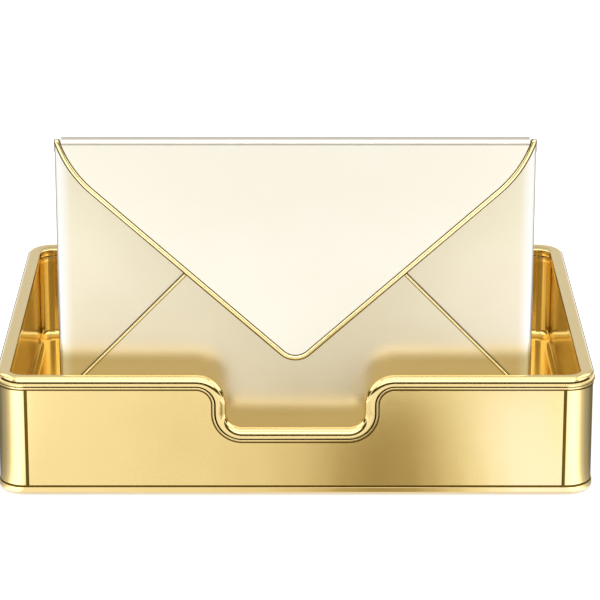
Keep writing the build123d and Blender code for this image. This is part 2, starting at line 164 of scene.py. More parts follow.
def grain_group():
    """Grain of a finished metal on Object coordinates: fine noise gives Mask, from 0 to
    1, and the bumped normal, and broad noise gives Cloud."""
    group = bpy.data.node_groups.new("Metal grain", "ShaderNodeTree")
    face = group.interface
    face.new_socket("Scale", in_out="INPUT", socket_type="NodeSocketFloat").default_value = 1000
    face.new_socket("Depth", in_out="INPUT", socket_type="NodeSocketFloat").default_value = 0.05
    face.new_socket("Mask", in_out="OUTPUT", socket_type="NodeSocketFloat")
    face.new_socket("Cloud", in_out="OUTPUT", socket_type="NodeSocketFloat")
    face.new_socket("Normal", in_out="OUTPUT", socket_type="NodeSocketVector")
    nodes, links = group.nodes, group.links
    inlet, outlet = nodes.new("NodeGroupInput"), nodes.new("NodeGroupOutput")
    place, bump = nodes.new("ShaderNodeTexCoord"), nodes.new("ShaderNodeBump")
    fine, broad = nodes.new("ShaderNodeTexNoise"), nodes.new("ShaderNodeTexNoise")
    fine.inputs["Detail"].default_value = 3
    broad.inputs["Scale"].default_value = 28
    broad.inputs["Detail"].default_value = 4
    bump.inputs["Distance"].default_value = 0.0002
    links.new(place.outputs["Object"], fine.inputs["Vector"])
    links.new(inlet.outputs["Scale"], fine.inputs["Scale"])
    links.new(place.outputs["Object"], broad.inputs["Vector"])
    links.new(fine.outputs["Fac"], bump.inputs["Height"])
    links.new(inlet.outputs["Depth"], bump.inputs["Strength"])
    links.new(fine.outputs["Fac"], outlet.inputs["Mask"])
    links.new(broad.outputs["Fac"], outlet.inputs["Cloud"])
    links.new(bump.outputs["Normal"], outlet.inputs["Normal"])
    return group


METAL_GRAIN = grain_group()


def metal(name, deep, light, *, rough, rough_spread, scale, depth=0.05, metallic=1.0, speckle=0.3):
    """Metal whose tint drifts between deep and light with the broad noise plus the fine
    noise, less its mean, times speckle. Roughness is rough plus the fine noise times
    rough_spread."""
    material = bpy.data.materials.new(name)
    material.use_nodes = True
    nodes, links = material.node_tree.nodes, material.node_tree.links
    shader = nodes["Principled BSDF"]
    shader.inputs["Metallic"].default_value = metallic
    grain = nodes.new("ShaderNodeGroup")
    grain.node_tree = METAL_GRAIN
    grain.inputs["Scale"].default_value = scale
    grain.inputs["Depth"].default_value = depth
    tint = nodes.new("ShaderNodeMix")
    tint.data_type = "RGBA"
    tint.inputs["A"].default_value = (*deep, 1)
    tint.inputs["B"].default_value = (*light, 1)
    drift, fleck = nodes.new("ShaderNodeMath"), nodes.new("ShaderNodeMath")
    drift.operation, fleck.operation = "SUBTRACT", "MULTIPLY_ADD"
    drift.inputs[1].default_value = speckle / 2
    fleck.inputs[1].default_value = speckle
    links.new(grain.outputs["Cloud"], drift.inputs[0])
    links.new(grain.outputs["Mask"], fleck.inputs[0])
    links.new(drift.outputs[0], fleck.inputs[2])
    links.new(fleck.outputs[0], tint.inputs["Factor"])
    links.new(tint.outputs["Result"], shader.inputs["Base Color"])
    spread = nodes.new("ShaderNodeMapRange")
    spread.inputs["To Min"].default_value = rough
    spread.inputs["To Max"].default_value = rough + rough_spread
    links.new(grain.outputs["Mask"], spread.inputs["Value"])
    links.new(spread.outputs["Result"], shader.inputs["Roughness"])
    links.new(grain.outputs["Normal"], shader.inputs["Normal"])
    return material


POLISHED_BRASS = metal("Polished brass", (0.78, 0.60, 0.26), (0.84, 0.66, 0.31),
                       rough=0.06, rough_spread=0.06, scale=900, depth=0.02)
# Dark brown metal painted into grooves, creases, the strips beside the wall's bends and the feet of
# beads: painted shade.
PAINTED_SHADE_METAL = metal("Painted shade metal", (0.085, 0.050, 0.006), (0.15, 0.095, 0.016),
                rough=0.5, rough_spread=0.2, scale=900)
rim_points, rim_outward, rim_upward = [both_halves(part) for part in rim_track()]
bead_in = RIM_PROUD - RIM_WIDTH
sheet_in = 2 * RIM_PROUD - RIM_WIDTH - SHEET_GAP
# The brow, the bead's outer face, is a quarter of an ellipse.
brow_turn = np.linspace(0, np.pi / 2, BROW_POINTS)
bead_brow = np.column_stack(
    [RIM_PROUD - BROW_REACH * (1 - np.cos(brow_turn)), -BROW_DROP * (1 - np.sin(brow_turn))]
)
lip_face, lip_foot = RIM_PROUD - LIP_STEP, -BEAD_HEIGHT - OUTER_LIP
inner_face, inner_foot = bead_in + LIP_STEP, -BEAD_HEIGHT - INNER_LIP
groove_top, groove_low = -BEAD_HEIGHT, -BEAD_HEIGHT - GROOVE_HEIGHT
# The list closes on itself, so the first corner is rounded against a line from the last
# one: behind the brow's crest the roof falls in a shallow valley to that round.
bead_corners = [
    (bead_in, 0, BEAD_ROUND),
    (bead_in, groove_top, INNER_FOOT_ROUND),
    (inner_face + GROOVE, groove_top, CRISP),
    (inner_face + GROOVE, groove_low, CRISP),
    (inner_face, groove_low, INNER_LIP_ROUND),
    (inner_face, inner_foot, INNER_LIP_FOOT_ROUND),
    (sheet_in, inner_foot, SHEET_ROUND),
    (sheet_in, -RIM_ROOF, SHEET_ROUND),
    (SHEET_GAP, -RIM_ROOF, SHEET_ROUND),
    (SHEET_GAP, lip_foot - GROOVE_HEIGHT, CRISP),
    (SHEET_GAP + SOLDER, lip_foot - GROOVE_HEIGHT, SOLDER_ROUND),
    (SHEET_GAP + SOLDER, lip_foot, CRISP),
    (lip_face, lip_foot, LIP_ROUND),
    (lip_face, groove_low, LIP_ROUND),
    (lip_face - GROOVE, groove_low, CRISP),
    (lip_face - GROOVE, groove_top, CRISP),
    (RIM_PROUD, groove_top, BEAD_FOOT_ROUND),
    (RIM_PROUD, -BROW_DROP, CRISP),
]
rim_profile = np.concatenate([bead_brow, rounded(bead_corners)])
# Faces between the first and the last of these corners are painted dark, as painted shade: the groove
# on each side of the lips, and the solder under the outer lip.
DARK_CORNERS = ((2, 4), (10, 12), (14, 16))
corner_start = len(bead_brow) + (PROFILE_PARTS + 1) * np.arange(len(bead_corners))
groove_faces = np.zeros(len(rim_profile), int)
for first, last in DARK_CORNERS:
    groove_faces[corner_start[first] : corner_start[last]] = 1
rim_grid = (
    rim_points[:, None]
    + rim_profile[None, :, :1] * rim_outward[:, None]
    + rim_profile[None, :, 1:] * rim_upward[:, None]
)
piece("rim_bead", skin("rim_bead", rim_grid, groove_faces), [POLISHED_BRASS, PAINTED_SHADE_METAL], "tray",
      ["rim_cap"], sharp=60)

# ---- Outer shell ------------------------------------------------------------------
# The tray's outside wall: one band of satin-finished brass sheet bent round the four
# corners, with the scoop cut in its front. Its top sits in the rim cap and its foot
# in the groove of the base moulding.
SHEET, SHELL_FOOT, SHEET_TOP, SCOOP_STEPS = 0.9, 2.2, RIM_TOP - RIM_ROOF, 12
BEND_SHADE = (0.1, 1.7)  # from the bend to the start and the end of the painted shade strip beside it


def wall_track():
    """Right half of a wall with the scoop in its front, as the centres that the corner
    radius is measured from: along the foot, along the top with its heights, and the
    outward directions. Under the scoop's cheek the foot's points are spread evenly."""
    turn = steps(0.0, np.pi / 2, CORNER_STEPS)
    brow_x, heel_x = SCOOP_HALF_WIDTH + SCOOP_SHOULDER, SCOOP_HALF_WIDTH - SCOOP_HEEL
    brow_radius, heel_radius = SCOOP_SHOULDER - RIM_ROOF, SCOOP_HEEL + RIM_ROOF
    low_z = SHEET_TOP - SCOOP_DEPTH
    top = [(x, CORNER_Y, SHEET_TOP) for x in steps(0, CORNER_X, 4, BEND_SHADE)]
    out = [(0, 1)] * len(top)
    top += [(CORNER_X, CORNER_Y, SHEET_TOP)] * len(turn)
    out += list(zip(np.sin(turn), np.cos(turn)))
    flank = steps(CORNER_Y, -CORNER_Y, 4, BEND_SHADE)
    top += [(CORNER_X, y, SHEET_TOP) for y in flank]
    out += [(1, 0)] * len(flank)
    top += [(CORNER_X, -CORNER_Y, SHEET_TOP)] * len(turn)
    out += list(zip(np.cos(turn), -np.sin(turn)))
    top += [(x, -CORNER_Y, SHEET_TOP) for x in steps(CORNER_X, brow_x, 4, BEND_SHADE)]
    brow = steps(0.0, np.pi / 2, SCOOP_STEPS)
    top += list(zip(brow_x - brow_radius * np.sin(brow), 0 * brow - CORNER_Y,
                    SHEET_TOP - brow_radius * (1 - np.cos(brow))))
    top += list(zip(heel_x + heel_radius * np.cos(brow), 0 * brow - CORNER_Y,
                    low_z + heel_radius * (1 - np.sin(brow))))
    top += [(x, -CORNER_Y, low_z) for x in np.linspace(heel_x, 0, 4)]
    out += [(0, -1)] * (len(top) - len(out))
    top, out = np.array(top, float), np.array(out, float)
    foot = top[:, :2].copy()
    cheek = (top[:, 1] == -CORNER_Y) & (top[:, 0] < brow_x) & (top[:, 0] > heel_x)
    foot[cheek, 0] = np.linspace(brow_x, heel_x, cheek.sum() + 2)[1:-1]
    return foot, top, out


def wall_rows(inset, z):
    """Both halves of the wall's line at one inset: along the top where z is None, or
    along the foot at height z."""
    foot, top, out = wall_track()
    base = top[:, :2] if z is None else foot
    flat = base + (CORNER_RADIUS - inset) * out
    height = top[:, 2] if z is None else np.full(len(flat), z)
    return both_halves(np.column_stack([flat, height]))


SATIN_BRASS = metal("Satin brass", (0.76, 0.585, 0.25), (0.84, 0.655, 0.30),
                    rough=0.13, rough_spread=0.10, scale=1500, depth=0.22, speckle=1.2)
shell_grid = np.stack([wall_rows(SHEET, None), wall_rows(SHEET, SHELL_FOOT), wall_rows(0, SHELL_FOOT),
                       wall_rows(0, None)], 1)
centre = (shell_grid + np.roll(shell_grid, -1, 0))[:, 0] / 2
# The bends are polished; beside each bend a strip of the flat sheet is painted dark, painted shade.
bent, shaded_strip = [
    (np.abs(centre[:, 0]) > CORNER_X - edge) & (np.abs(centre[:, 1]) > CORNER_Y - edge) for edge in BEND_SHADE
]
finishes = np.where(bent, 1, np.where(shaded_strip, 2, 0))
piece("outer_wall", skin("outer_wall", shell_grid, finishes[:, None]),
      [SATIN_BRASS, POLISHED_BRASS, PAINTED_SHADE_METAL], "tray", ["outer_shell"])

# ---- Inner liner ------------------------------------------------------------------
# A deep-drawn brass pan inside the shell: floor, rounded foot and walls in one sheet,
# polished, with its top edge in the rim cap beside the shell's.
LINER_INSET, LINER_FLOOR, FLOOR_FILLET, FLOOR_BORDER, FILLET_POINTS = 5.6, 10.3, 3.5, 0.6, 13
# Darker and more orange than the rim's polished brass: painted shade for the inside of the tray.
SHADED_LINER_BRASS = metal("Shaded polished liner brass", (0.69, 0.49, 0.15), (0.76, 0.56, 0.195),
                    rough=0.10, rough_spread=0.08, scale=500)


def liner_side(inset, floor, radius):
    """One side of the pan's sheet, from its top edge down the wall and round a quarter
    of a circle of the given radius onto the floor."""
    bend = np.linspace(0, np.pi / 2, FILLET_POINTS)
    return [wall_rows(inset, None)] + [
        wall_rows(inset + radius * (1 - np.cos(a)), floor + radius * (1 - np.sin(a))) for a in bend
    ]


liner_border = wall_rows(LINER_INSET + FLOOR_FILLET + FLOOR_BORDER, LINER_FLOOR)
inner_side = liner_side(LINER_INSET, LINER_FLOOR, FLOOR_FILLET)
outer_side = liner_side(LINER_INSET - SHEET, LINER_FLOOR - SHEET, FLOOR_FILLET + SHEET)
liner_grid = np.stack([liner_border] + inner_side[::-1] + outer_side)
piece("liner_pan", skin("liner_pan", liner_grid, along=False), [SHADED_LINER_BRASS], "tray",
      ["inner_liner"])

# ---- Base moulding ----------------------------------------------------------------
# A low polished brass ring under the shell, rounded along its foot, with a groove
# that the shell stands in and a ledge for the base plate.
FOOT_STAND, MOULDING_HEIGHT, MOULDING_WIDTH, MOULDING_PROUD = 1.0, 3.2, 5.0, 0.5
MOULDING_ROUND, TOP_ROUND, REBATE, LEDGE, BASE_RECESS, SEAM_HEIGHT = 1.4, 0.22, 2.0, 1.9, 1.5, 1.1
moulding_top, moulding_in = FOOT_STAND + MOULDING_HEIGHT, MOULDING_PROUD - MOULDING_WIDTH
base_z, shell_in = FOOT_STAND + BASE_RECESS, -SHEET - SHEET_GAP
moulding_profile = rounded([
    (MOULDING_PROUD, FOOT_STAND, MOULDING_ROUND),
    (MOULDING_PROUD, moulding_top, TOP_ROUND),
    (SHEET_GAP + SOLDER, moulding_top, CRISP),
    (SHEET_GAP, moulding_top + SEAM_HEIGHT, CRISP),
    (SHEET_GAP, moulding_top - REBATE, CRISP),
    (shell_in, moulding_top - REBATE, CRISP),
    (shell_in, moulding_top, CRISP),
    (moulding_in + LEDGE, moulding_top, CRISP),
    (moulding_in + LEDGE, base_z, CRISP),
    (moulding_in, base_z, CRISP),
    (moulding_in, FOOT_STAND, CRISP),
])
# The third and fourth corners, the solder against the shell, are painted dark: painted shade in the
# crease between moulding and shell.
shaded_crease_faces = np.zeros(len(moulding_profile), int)
shaded_crease_faces[2 * (PROFILE_PARTS + 1) - 1 : 3 * (PROFILE_PARTS + 1) + 1] = 1
foot_line, _, out_line = wall_track()
ring_centre = both_halves(np.column_stack([foot_line, 0 * foot_line[:, 0]]))
ring_out = both_halves(np.column_stack([out_line, 0 * foot_line[:, 0]]))
moulding_grid = (
    ring_centre[:, None]
    + (CORNER_RADIUS + moulding_profile[None, :, :1]) * ring_out[:, None]
    + moulding_profile[None, :, 1:] * (0, 0, 1)
)
piece("foot_ring", skin("foot_ring", moulding_grid, shaded_crease_faces), [POLISHED_BRASS, PAINTED_SHADE_METAL], "tray",
      ["base_moulding"], sharp=60)

# ---- CAD pieces that keep their shape ---------------------------------------------
# Base plate, rail, rivets, feet, screws and spacers are hidden or plain: they keep
# their solids and only get their finish.
PLAIN_BRASS = metal("Plain brass", (0.62, 0.45, 0.20), (0.74, 0.56, 0.28),
                    rough=0.28, rough_spread=0.12, scale=400, depth=0.08)
SCREW_STEEL = metal("Screw steel", (0.50, 0.49, 0.47), (0.62, 0.61, 0.59),
                    rough=0.22, rough_spread=0.12, scale=800)
FOOT_RUBBER = metal("Foot rubber", (0.012, 0.012, 0.012), (0.03, 0.03, 0.03),
                    rough=0.65, rough_spread=0.2, scale=1200, depth=0.2, metallic=0.0)


def finish(node, material):
    """Gives a CAD node this one material and leaves its mesh as it is."""
    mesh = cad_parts[node].data
    mesh.materials.clear()
    mesh.materials.append(material)


for node in ("base_plate", "rail_rivets"):
    finish(node, PLAIN_BRASS)
for node in ("foot_screws", "floor_spacers", "hinge_rod"):
    finish(node, SCREW_STEEL)
for node in ("foot_front_left", "foot_front_right", "foot_rear_left", "foot_rear_right"):
    finish(node, FOOT_RUBBER)
finish("letter_rail", SHADED_LINER_BRASS)

# ---- Envelope body ----------------------------------------------------------------
# Back panel, two side flaps and bottom flap: stiff sheet with a champagne finish, each
# flap bent from its own blank. The colour is darker towards the foot, and paints a
# highlight along the side folds, a dark line at their outer edge and a shadow below the
# top flap's edge.
ENVELOPE_WIDTH, ENVELOPE_HEIGHT, ENVELOPE_Y, ENVELOPE_FOOT = 229.0, 162.0, -84.0, 11.6
SHOULDER_DROP, SHOULDER_RUN, TIP_DROP, TIP_RADIUS = 26.1, 16.0, 109.8, 9.5
PIPING_INSET, PIPING_DROP = 1.5, 1.7
TINT_Z, TINT_SHARE = (0.045, 0.150), (-0.25, 0.75)  # metres above the desk, share of the top tint
SHADE_START, SHADE_END, SHADE_DEPTH = -0.002, 0.030, (0.80, 0.80, 0.72)  # metres, share of the low tint
piping_reach = ENVELOPE_WIDTH / 2 - PIPING_INSET
shoulder_x, shoulder_z = piping_reach - SHOULDER_RUN, ENVELOPE_HEIGHT - SHOULDER_DROP
tip_z, end_z = ENVELOPE_HEIGHT - TIP_DROP, ENVELOPE_HEIGHT - PIPING_DROP
tip_rise = shoulder_z - tip_z - TIP_RADIUS
flap_slope = np.arctan2(tip_rise, shoulder_x) + np.arcsin(TIP_RADIUS / np.hypot(tip_rise, shoulder_x))


def sheet_metal(name, top, low, fold, edge, axis, bands, shade=0.0, speckle=0.5):
    """Champagne metal whose tint runs from low at the foot to top. Along |x| or z it
    turns to fold, then to edge, over the two bands given in metres: bands of painted
    highlight and painted shade. It is darkened by shade, a painted shadow of the flap,
    along the flap's edge, which lies where |x| sin(slope) - z cos(slope) is a fixed
    length."""
    material = metal(name, low, top, rough=0.27, rough_spread=0.10, scale=1100, depth=0.14,
                     speckle=speckle)
    nodes, links = material.node_tree.nodes, material.node_tree.links
    tint = next(node for node in nodes if node.bl_idname == "ShaderNodeMix")
    fleck = next(node for node in nodes if getattr(node, "operation", "") == "MULTIPLY_ADD")
    place, parts = nodes.new("ShaderNodeTexCoord"), nodes.new("ShaderNodeSeparateXYZ")
    links.new(place.outputs["Object"], parts.inputs[0])
    side, height, half = (nodes.new("ShaderNodeMath") for _ in range(3))
    side.operation, height.operation, half.operation = "ABSOLUTE", "ADD", "MULTIPLY"
    links.new(parts.outputs["X"], side.inputs[0])
    rise = nodes.new("ShaderNodeMapRange")
    rise.inputs["From Min"].default_value, rise.inputs["From Max"].default_value = TINT_Z
    rise.inputs["To Min"].default_value, rise.inputs["To Max"].default_value = TINT_SHARE
    links.new(parts.outputs["Z"], rise.inputs["Value"])
    half.inputs[1].default_value = 0.5
    links.new(fleck.outputs[0], half.inputs[0])
    links.new(half.outputs[0], height.inputs[0])
    links.new(rise.outputs[0], height.inputs[1])
    links.new(height.outputs[0], tint.inputs["Factor"])
    colour = tint.outputs["Result"]
    # The shade mix paints the top flap's shadow on the sheet below its edge.
    if shade:
        lean, gap, fade, flap_shadow = (nodes.new("ShaderNodeMath"), nodes.new("ShaderNodeMath"),
                                 nodes.new("ShaderNodeMapRange"), nodes.new("ShaderNodeMix"))
        lean.operation, gap.operation = "MULTIPLY", "MULTIPLY_ADD"
        lean.inputs[1].default_value = np.sin(flap_slope)
        gap.inputs[1].default_value = -np.cos(flap_slope)
        links.new(side.outputs[0], lean.inputs[0])
        links.new(parts.outputs["Z"], gap.inputs[0])
        links.new(lean.outputs[0], gap.inputs[2])
        shoulder_top = ENVELOPE_FOOT + shoulder_z
        flap_edge = (shoulder_x * np.sin(flap_slope) - shoulder_top * np.cos(flap_slope)) * 0.001
        fade.interpolation_type = "SMOOTHSTEP"
        fade.inputs["From Min"].default_value = flap_edge + SHADE_START
        fade.inputs["From Max"].default_value = flap_edge + SHADE_END
        fade.inputs["To Min"].default_value = shade
        fade.inputs["To Max"].default_value = 0.0
        links.new(gap.outputs[0], fade.inputs["Value"])
        flap_shadow.data_type = "RGBA"
        flap_shadow.inputs["B"].default_value = (*np.multiply(low, SHADE_DEPTH), 1)
        links.new(fade.outputs[0], flap_shadow.inputs["Factor"])
        links.new(colour, flap_shadow.inputs["A"])
        colour = flap_shadow.outputs["Result"]
    source = side.outputs[0] if axis == "X" else parts.outputs["Z"]
    for tone, (start, finish_at) in zip((fold, edge), bands):
        share, blend = nodes.new("ShaderNodeMapRange"), nodes.new("ShaderNodeMix")
        share.interpolation_type = "SMOOTHSTEP"
        share.inputs["From Min"].default_value = start
        share.inputs["From Max"].default_value = finish_at
        links.new(source, share.inputs["Value"])
        blend.data_type = "RGBA"
        blend.inputs["B"].default_value = (*tone, 1)
        links.new(share.outputs[0], blend.inputs["Factor"])
        links.new(colour, blend.inputs["A"])
        colour = blend.outputs["Result"]
    links.new(colour, nodes["Principled BSDF"].inputs["Base Color"])
    return material


# fold is a painted highlight along the side folds, edge a painted dark line at their outer edge, shade
# a painted shadow below the top flap's edge; the tint is darker towards the foot.
CHAMPAGNE = sheet_metal(
    "Champagne sheet",
    top=(0.83, 0.765, 0.60),
    low=(0.71, 0.625, 0.445),
    fold=(0.84, 0.83, 0.78),
    edge=(0.30, 0.285, 0.25),
    axis="X",
    bands=((0.1065, 0.1125), (0.1136, 0.1141)),
    shade=0.30,
)
for node in ("back_panel", "side_flap_left", "side_flap_right", "bottom_flap"):
    finish(node, CHAMPAGNE)

# ---- Top flap ---------------------------------------------------------------------
# One V-shaped sheet in a paler champagne, its upper edge curled round the hinge rod.
# The crease under the curl and the curl's back are painted darker: painted shade.
FLAP_CHAMPAGNE = sheet_metal(
    "Pale champagne sheet",
    top=(0.85, 0.81, 0.69),
    low=(0.93, 0.89, 0.78),
    fold=(0.66, 0.62, 0.53),
    edge=(0.68, 0.65, 0.57),
    axis="Z",
    bands=((0.1698, 0.1704), (0.1720, 0.1732)),
    speckle=0.3,
)
finish("top_flap", FLAP_CHAMPAGNE)

# ---- Flap piping ------------------------------------------------------------------
# Half-round brass wire with a flat foot, soldered along the whole V of the top flap.
# Its rounded back is polished; the foot on both sides is painted dark, painted shade where the wire
# meets the sheet.
FLAP_BACK, PIPING_HALF, PIPING_CORE, PIPING_RISE, PIPING_FLANGE = -3.6, 1.42, 0.95, 1.45, 0.85
END_LENGTH, TIP_POINTS, BOW_POINTS, END_POINTS, BACK_POINTS = 1.3, 16, 14, 8, 13
BEAD_BRASS = metal("Bead brass", (0.94, 0.80, 0.40), (0.97, 0.86, 0.48),
                   rough=0.16, rough_spread=0.08, scale=900, depth=0.03)


def bead_profile(half, core, rise, flange):
    """Section of a half-round bead, from its inner foot to its outer one: across the
    bead and out from the sheet. The back is half an ellipse on a flat flange. Also
    says which faces are the polished back (0) and which the foot, painted dark as
    shade where the bead meets the sheet (1)."""
    turn = np.linspace(np.pi, 0, BACK_POINTS)
    back = np.column_stack([core * np.cos(turn), flange + (rise - flange) * np.sin(turn)])
    rows = np.concatenate([[(-half, 0), (-half, flange)], back, [(half, flange), (half, 0)]])
    faces = np.ones(len(rows), int)
    faces[2 : 1 + BACK_POINTS] = 0
    return rows, faces


def bead(name, line, aside, sheet_y, profile, body, nodes, size=1.0):
    """Bead along a line in the plane of a sheet: each point of the section is the
    line's point plus its distance across times aside, and its height towards the
    front, both times the size there. Its polished back is the first material."""
    rows, faces = profile
    size = np.broadcast_to(size, len(line))[:, None]
    grid = np.empty((len(line), len(rows), 3))
    grid[:, :, [0, 2]] = line[:, None] + (size * rows[None, :, 0])[..., None] * aside[:, None]
    grid[:, :, 1] = sheet_y - rows[:, 1] * size
    grid += (0, ENVELOPE_Y, ENVELOPE_FOOT)
    mesh = skin(name, grid, faces, along=False)
    piece(name, mesh, [BEAD_BRASS, PAINTED_SHADE_METAL], body, nodes, sharp=50)


sweep = np.linspace(-np.pi / 2, flap_slope - np.pi / 2, TIP_POINTS)
tip_out = np.column_stack([np.cos(sweep), np.sin(sweep)])
tip_line = np.array([0, tip_z + TIP_RADIUS]) + TIP_RADIUS * tip_out
edge_out = tip_out[-1]
# From the shoulder to the piping's end the edge is an arc that starts along the slope.
shoulder, end = np.array([shoulder_x, shoulder_z]), np.array([piping_reach, end_z])
bow_radius = ((end - shoulder) ** 2).sum() / (-2 * ((end - shoulder) * edge_out).sum())
bow_centre = shoulder - bow_radius * edge_out
bow_end = np.arctan2(*(end - bow_centre)[::-1])
bow = np.linspace(sweep[-1], bow_end, BOW_POINTS)
bow_out = np.column_stack([np.cos(bow), np.sin(bow)])
bow_line = bow_centre + bow_radius * bow_out
# The wire ends in a round tip, where the section's width and height shrink as the
# cosine of an even angle.
end_sweep = np.linspace(0, np.pi / 2, END_POINTS)[1:-1]
along = np.array([-bow_out[-1, 1], bow_out[-1, 0]])
end_line = bow_line[-1] + END_LENGTH * np.sin(end_sweep)[:, None] * along
half_line = np.concatenate([tip_line, bow_line, end_line])
half_out = np.concatenate([tip_out, bow_out, np.tile(bow_out[-1], (len(end_line), 1))])
half_size = np.concatenate([np.ones(len(tip_line) + len(bow_line)), np.cos(end_sweep)])
piping_line = np.concatenate([half_line[:0:-1] * (-1, 1), half_line])
piping_out = np.concatenate([half_out[:0:-1] * (-1, 1), half_out])
piping_size = np.concatenate([half_size[:0:-1], half_size])
piping_section = bead_profile(PIPING_HALF, PIPING_CORE, PIPING_RISE, PIPING_FLANGE)
bead("piping", piping_line, piping_out, FLAP_BACK, piping_section, "flap", ["flap_piping"], piping_size)

# ---- Seam beads -------------------------------------------------------------------
# The same wire, thinner, on each slanted edge of the bottom flap. It starts on the
# side fold and stops just short of the closed flap's piping.
SEAM_FOOT, SEAM_SLOPE, BOTTOM_FACE, FOLD_RADIUS, SEAM_END_GAP = 33.5, np.radians(45.8), -3.4, 2.6, 0.3
SEAM_HALF, SEAM_CORE, SEAM_RISE, SEAM_FLANGE = 0.8, 0.56, 0.8, 0.35
fold_x = ENVELOPE_WIDTH / 2 - FOLD_RADIUS
seam_run = np.array([-np.cos(SEAM_SLOPE), np.sin(SEAM_SLOPE)])
seam_aside = np.array([-np.sin(SEAM_SLOPE), -np.cos(SEAM_SLOPE)])
seam_start = np.array([fold_x, SEAM_FOOT]) + SEAM_HALF * np.cos(SEAM_SLOPE) * np.array([1, -1])
# The seam meets the flap's straight edge where both lines have the same height.
reach = (shoulder_z - seam_start[1] + np.tan(flap_slope) * (seam_start[0] - shoulder_x)) / (
    seam_run[1] + np.tan(flap_slope) * np.cos(SEAM_SLOPE)
)
seam_length = reach - PIPING_HALF - SEAM_END_GAP
seam_line = seam_start + np.linspace(0, seam_length, 3)[:, None] * seam_run
seam_section = bead_profile(SEAM_HALF, SEAM_CORE, SEAM_RISE, SEAM_FLANGE)
for side, name in ((-1, "left"), (1, "right")):
    aside = np.tile(seam_aside * (side, 1), (len(seam_line), 1))
    bead(f"seam_wire_{name}", seam_line * (side, 1), aside, BOTTOM_FACE, seam_section, "envelope",
         [f"seam_bead_{name}"])

# ---- Floor, light and camera ------------------------------------------------------
# A pale matt floor under a large soft lamp, white and grey cards that only the polished
# metal sees, and a camera on the photograph's line of sight, 18 degrees above the desk.
# Lengths here are in metres.
FLOOR_HALF, FLOOR_TONE, FLOOR_GLOW, STUDIO_TONE = 9, (0.8, 0.8, 0.8, 1), 0.45, (0.8, 0.8, 0.8, 1)
LAMP_PLACE, LAMP_AIM = Vector((0, -0.35, 1.7)), Vector((0, 0, 0.05))
LAMP_SIZE, LAMP_WATTS = (1.8, 1.2), 12
floor_mesh = bpy.data.meshes.new("floor")
floor_corners = [(x * FLOOR_HALF, y * FLOOR_HALF, 0) for x, y in ((-1, -1), (1, -1), (1, 1), (-1, 1))]
floor_mesh.from_pydata(floor_corners, [], [(0, 1, 2, 3)])
floor = bpy.data.objects.new("floor", floor_mesh)
bpy.context.collection.objects.link(floor)
pale = bpy.data.materials.new("Pale floor")
pale.use_nodes = True
nodes, links = pale.node_tree.nodes, pale.node_tree.links
shader = nodes["Principled BSDF"]
shader.inputs["Base Color"].default_value = FLOOR_TONE
shader.inputs["Roughness"].default_value = 0.9
shader.inputs["Emission Color"].default_value = (1, 1, 1, 1)
path, either, glow = (nodes.new("ShaderNodeLightPath"), nodes.new("ShaderNodeMath"),
                      nodes.new("ShaderNodeMath"))
either.operation, glow.operation = "MAXIMUM", "MULTIPLY"
glow.inputs[1].default_value = FLOOR_GLOW
links.new(path.outputs["Is Camera Ray"], either.inputs[0])
links.new(path.outputs["Is Glossy Ray"], either.inputs[1])
links.new(either.outputs[0], glow.inputs[0])
links.new(glow.outputs[0], shader.inputs["Emission Strength"])
floor_mesh.materials.append(pale)

world = bpy.data.worlds.new("Studio")
bpy.context.scene.world = world
world.use_nodes = True
nodes, links = world.node_tree.nodes, world.node_tree.links
path, shade = nodes.new("ShaderNodeLightPath"), nodes.new("ShaderNodeMix")
shade.data_type = "RGBA"
shade.inputs["A"].default_value = STUDIO_TONE
shade.inputs["B"].default_value = (1, 1, 1, 1)
links.new(path.outputs["Is Camera Ray"], shade.inputs["Factor"])
links.new(shade.outputs["Result"], nodes["Background"].inputs["Color"])

softbox_light = bpy.data.lights.new("Overhead softbox", "AREA")
softbox_light.shape = "RECTANGLE"
softbox_light.size, softbox_light.size_y = LAMP_SIZE
softbox_light.energy = LAMP_WATTS
softbox = bpy.data.objects.new("Overhead softbox", softbox_light)
softbox.location = LAMP_PLACE
softbox.rotation_euler = (LAMP_AIM - LAMP_PLACE).to_track_quat("-Z", "Y").to_euler()
softbox.visible_glossy = False
bpy.context.collection.objects.link(softbox)

# A card follows its stops across the panel's width, or round a corner of the tray out to
# FADE, where it turns into plain floor. A warm card loses blue and a little green where
# it is darker than 1, and gains blue and loses red where it is brighter.
PANEL_SPAN, FADE, FLOOR_LEVEL = 0.155, (0.19, 0.30), 1.1
WARM_GREEN, WARM_BLUE, COOL_RED, COOL_BLUE = 0.25, 0.78, 0.3, 1.5


